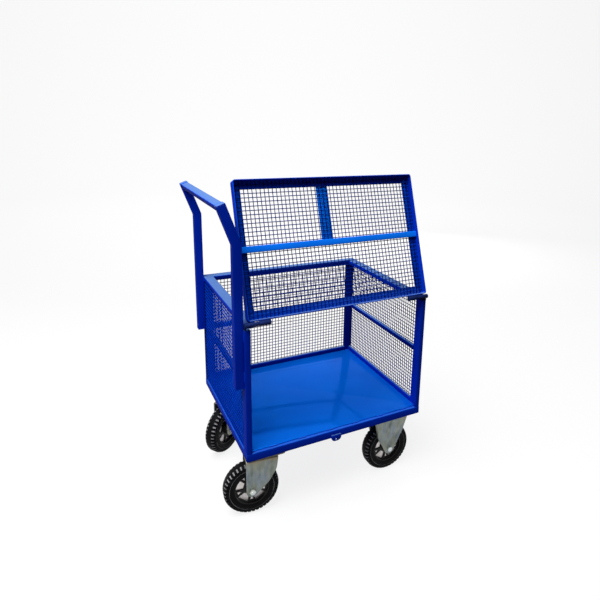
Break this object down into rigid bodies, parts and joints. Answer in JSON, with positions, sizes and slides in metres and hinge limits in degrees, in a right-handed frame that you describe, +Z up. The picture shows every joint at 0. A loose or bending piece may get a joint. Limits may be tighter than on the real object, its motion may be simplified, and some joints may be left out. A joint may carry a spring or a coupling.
{
  "type": "mesh cage hand cart",
  "caption": "Blue steel hand cart: a flat deck with mesh cage walls, a mesh front door that lifts and folds up over the top, a push handle and rubber castors.",
  "frame": {"origin": "centre of the bounding box at floor level, with the door up and the castors turned as in the picture", "axes": "+X along the deck away from the handle, -Y towards the open front and the door, +Z up"},
  "size_m": [0.7964, 0.607, 1.2016],
  "materials": {
    "blue_paint": "gloss paint",
    "hinge_black": "black gloss paint",
    "bright_zinc": "bright zinc plate",
    "yellow_zinc": "yellow zinc plate",
    "wheel_black": "black moulding with grey pocket floors",
    "tyre_rubber": "black rubber"
  },
  "bodies": {
    "cart": {"deck_front_tube": "blue_paint", "deck_rear_tube": "blue_paint", "deck_left_tube": "blue_paint", "deck_right_tube": "blue_paint", "deck_joists": "blue_paint", "deck_plate": "blue_paint", "castor_pads": "blue_paint", "front_left_post": "blue_paint", "front_right_post": "blue_paint", "rear_left_post": "blue_paint", "rear_right_post": "blue_paint", "post_caps": "blue_paint", "left_bottom_rail": "blue_paint", "left_mid_rail": "blue_paint", "left_top_rail": "blue_paint", "right_bottom_rail": "blue_paint", "right_mid_rail": "blue_paint", "right_top_rail": "blue_paint", "back_bottom_rail": "blue_paint", "back_mid_rail": "blue_paint", "back_top_rail": "blue_paint", "left_mesh": "blue_paint", "right_mesh": "blue_paint", "back_mesh": "blue_paint", "handle_front_upright": "blue_paint", "handle_rear_upright": "blue_paint", "handle_grip_bar": "blue_paint", "handle_caps": "blue_paint", "hinge_end_plates": "hinge_black", "hinge_sockets": "hinge_black", "lock_tab": "blue_paint", "swivel_plates": "yellow_zinc", "swivel_kingpins": "bright_zinc", "castor_bolts": "bright_zinc", "front_fixed_fork": "bright_zinc", "rear_fixed_fork": "bright_zinc", "fixed_axles": "bright_zinc"},
    "door": {"door_hinge_rail": "blue_paint", "door_free_rail": "blue_paint", "door_left_stile": "blue_paint", "door_right_stile": "blue_paint", "door_crossbar": "blue_paint", "door_lock_strip": "blue_paint", "door_mesh": "blue_paint", "hinge_leaves": "hinge_black"},
    "front_swivel_fork_body": {"front_swivel_race": "yellow_zinc", "front_swivel_fork": "bright_zinc", "front_swivel_axle": "bright_zinc"},
    "rear_swivel_fork_body": {"rear_swivel_race": "yellow_zinc", "rear_swivel_fork": "bright_zinc", "rear_swivel_axle": "bright_zinc"},
    "front_swivel_wheel": {"front_swivel_hub": "wheel_black", "front_swivel_tyre": "tyre_rubber"},
    "rear_swivel_wheel": {"rear_swivel_hub": "wheel_black", "rear_swivel_tyre": "tyre_rubber"},
    "front_fixed_wheel": {"front_fixed_hub": "wheel_black", "front_fixed_tyre": "tyre_rubber"},
    "rear_fixed_wheel": {"rear_fixed_hub": "wheel_black", "rear_fixed_tyre": "tyre_rubber"}
  },
  "joints": [
    {"name": "door_hinge", "type": "hinge", "parent": "cart", "child": "door", "pos_m": [0, -0.2955, 0.7499], "axis": [1, 0, 0], "range_deg": [0, 199]},
    {"name": "front_swivel", "type": "hinge", "parent": "cart", "child": "front_swivel_fork_body", "pos_m": [-0.24578, -0.2315, 0.221], "axis": [0, 0, 1], "continuous": true},
    {"name": "front_swivel_wheel_spin", "type": "hinge", "parent": "front_swivel_fork_body", "child": "front_swivel_wheel", "pos_m": [-0.28945, -0.22614, 0.1], "axis": [0.1219, 0.9925, 0], "continuous": true},
    {"name": "rear_swivel", "type": "hinge", "parent": "cart", "child": "rear_swivel_fork_body", "pos_m": [-0.24578, 0.1915, 0.221], "axis": [0, 0, 1], "continuous": true},
    {"name": "rear_swivel_wheel_spin", "type": "hinge", "parent": "rear_swivel_fork_body", "child": "rear_swivel_wheel", "pos_m": [-0.28137, 0.16564, 0.1], "axis": [-0.5878, 0.809, 0], "continuous": true},
    {"name": "front_fixed_wheel_spin", "type": "hinge", "parent": "cart", "child": "front_fixed_wheel", "pos_m": [0.28022, -0.2315, 0.1], "axis": [0, 1, 0], "continuous": true},
    {"name": "rear_fixed_wheel_spin", "type": "hinge", "parent": "cart", "child": "rear_fixed_wheel", "pos_m": [0.28022, 0.1915, 0.1], "axis": [0, 1, 0], "continuous": true}
  ]
}
